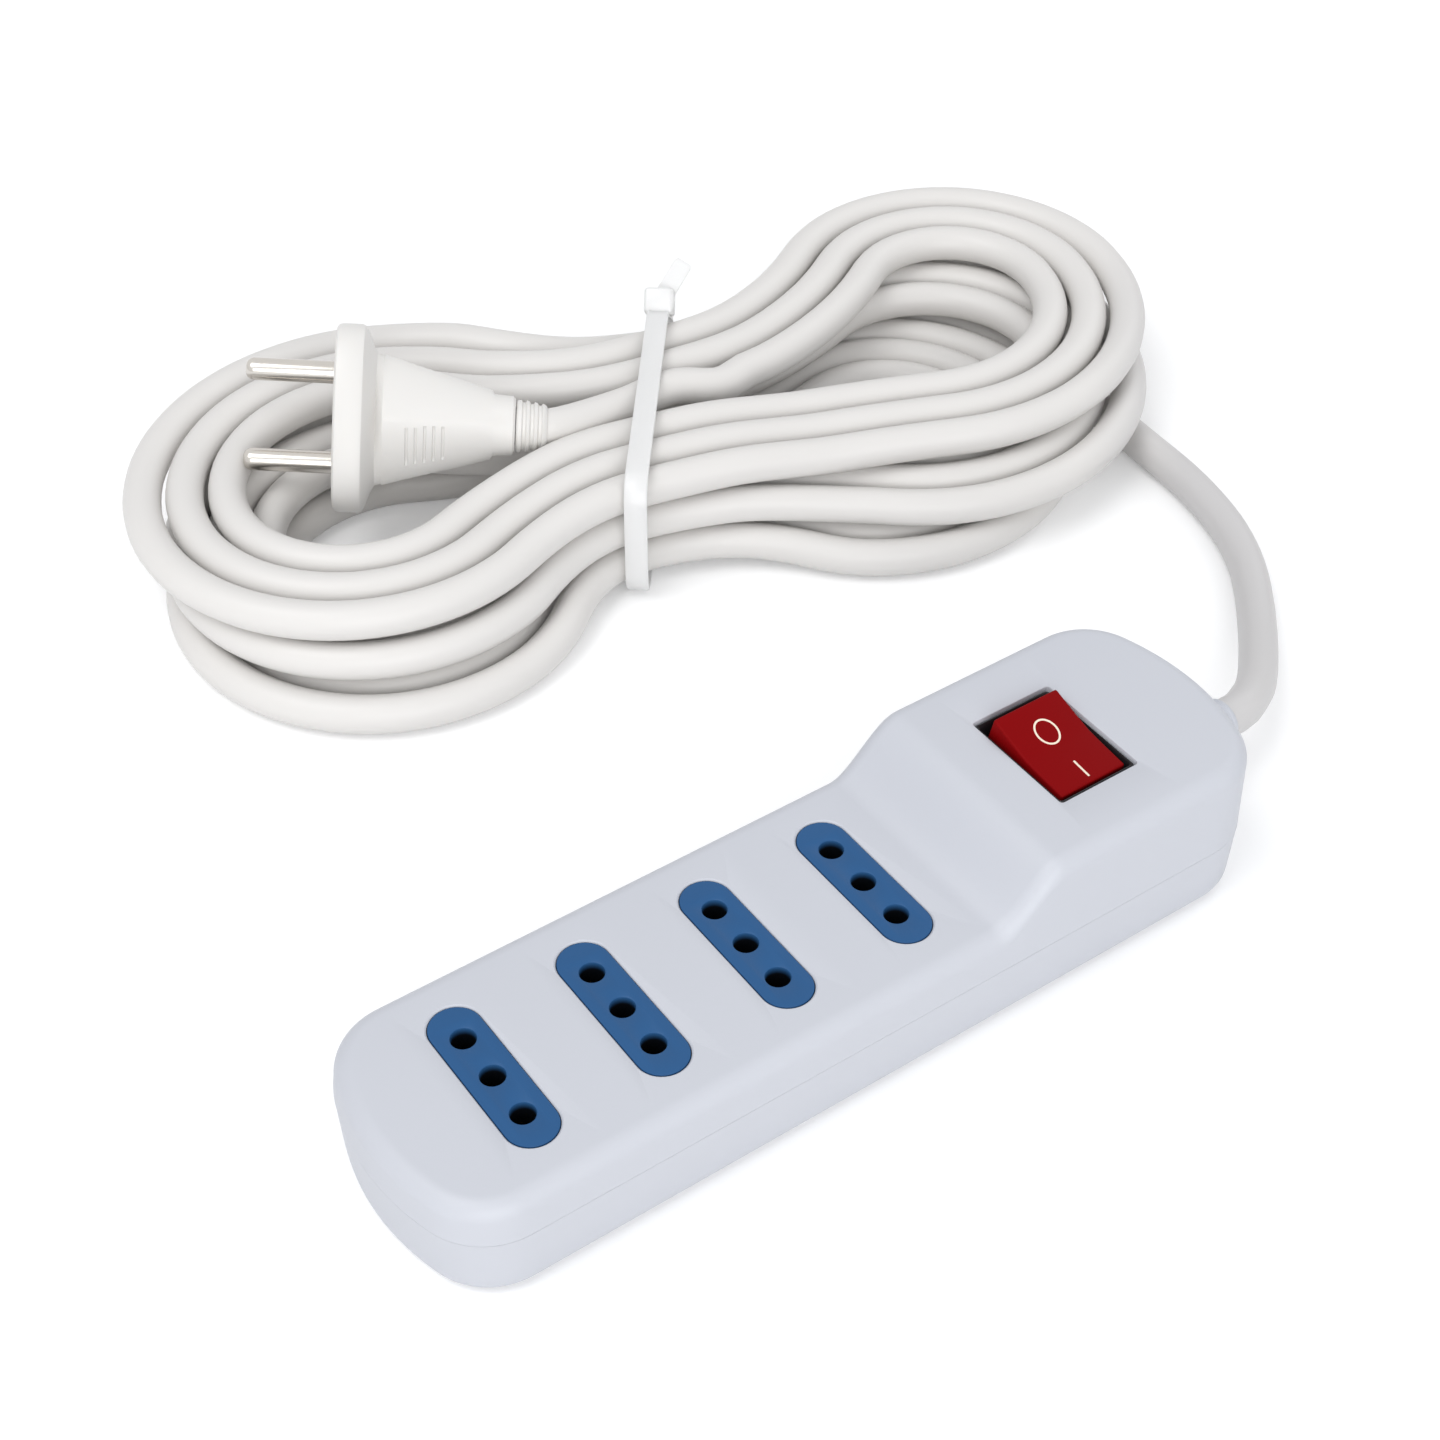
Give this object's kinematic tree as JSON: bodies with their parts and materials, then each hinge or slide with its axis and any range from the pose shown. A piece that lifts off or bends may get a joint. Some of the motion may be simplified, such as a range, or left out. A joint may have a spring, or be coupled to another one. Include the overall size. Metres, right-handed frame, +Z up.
{
  "type": "extension cord",
  "caption": "Low white socket strip with a raised rocker switch at one end, its mains cord hanked, tied and ending in a two-pin plug.",
  "frame": {"origin": "middle of the strip's flat base", "axes": "+X along the strip towards the switch and the cord, +Y across it towards the hank, +Z up out of the sockets"},
  "size_m": [0.2748, 0.2316, 0.0486],
  "materials": {
    "housing": "satin moulded plastic, fine even grain",
    "socket": "satin blue moulded plastic",
    "rocker": "gloss translucent red plastic with pale O and I",
    "switch_black": "satin black plastic",
    "cord": "soft satin white PVC sheath",
    "plug": "satin white moulded plastic",
    "tie": "milky translucent nylon",
    "steel": "bright turned steel",
    "brass": "stamped brass",
    "screw": "zinc plated steel",
    "lamp": "clear glass lamp",
    "wire_brown": "insulated wire",
    "wire_blue": "insulated wire"
  },
  "bodies": {
    "strip": {"top_cover": "housing", "bottom_cover": "housing", "cord_bushing": "housing", "housing_screw_1": "screw", "socket_insert_1": "socket", "contact_live_1": "brass", "contact_earth_1": "brass", "contact_neutral_1": "brass", "housing_screw_2": "screw", "socket_insert_2": "socket", "contact_live_2": "brass", "contact_earth_2": "brass", "contact_neutral_2": "brass", "housing_screw_3": "screw", "socket_insert_3": "socket", "contact_live_3": "brass", "contact_earth_3": "brass", "contact_neutral_3": "brass", "housing_screw_4": "screw", "socket_insert_4": "socket", "contact_live_4": "brass", "contact_earth_4": "brass", "contact_neutral_4": "brass", "busbar_live": "brass", "busbar_earth": "brass", "busbar_neutral": "brass", "switch_frame": "switch_black", "terminal_line_in": "brass", "terminal_line_out": "brass", "terminal_neutral": "brass", "neon_lamp": "lamp", "cord_clamp": "switch_black", "clamp_screw_1": "screw", "clamp_screw_2": "screw", "cord_end": "cord", "wire_live_in": "wire_brown", "wire_live_out": "wire_brown", "wire_neutral": "wire_blue", "cord_lead": "cord", "cord_hank": "cord", "cord_tail": "cord", "plug_body": "plug", "plug_relief": "plug", "plug_pin_1": "steel", "plug_pin_2": "steel", "cable_tie": "tie"},
    "rocker": {"rocker": "rocker", "switch_plunger": "steel", "plunger_spring": "screw"},
    "blade": {"contact_blade": "brass"}
  },
  "joints": [
    {"name": "rocker_tilt", "type": "hinge", "parent": "strip", "child": "rocker", "pos_m": [0.0546, 0, 0.0275], "axis": [1, 0, 0], "range_deg": [-22, 0]},
    {"name": "blade_tilt", "type": "hinge", "parent": "strip", "child": "blade", "pos_m": [0.0546, 0, 0.0154], "axis": [1, 0, 0], "range_deg": [0, 16]}
  ],
  "couplings": [
    {"joint": "blade_tilt", "follows": "rocker_tilt", "ratio": -0.7273}
  ]
}
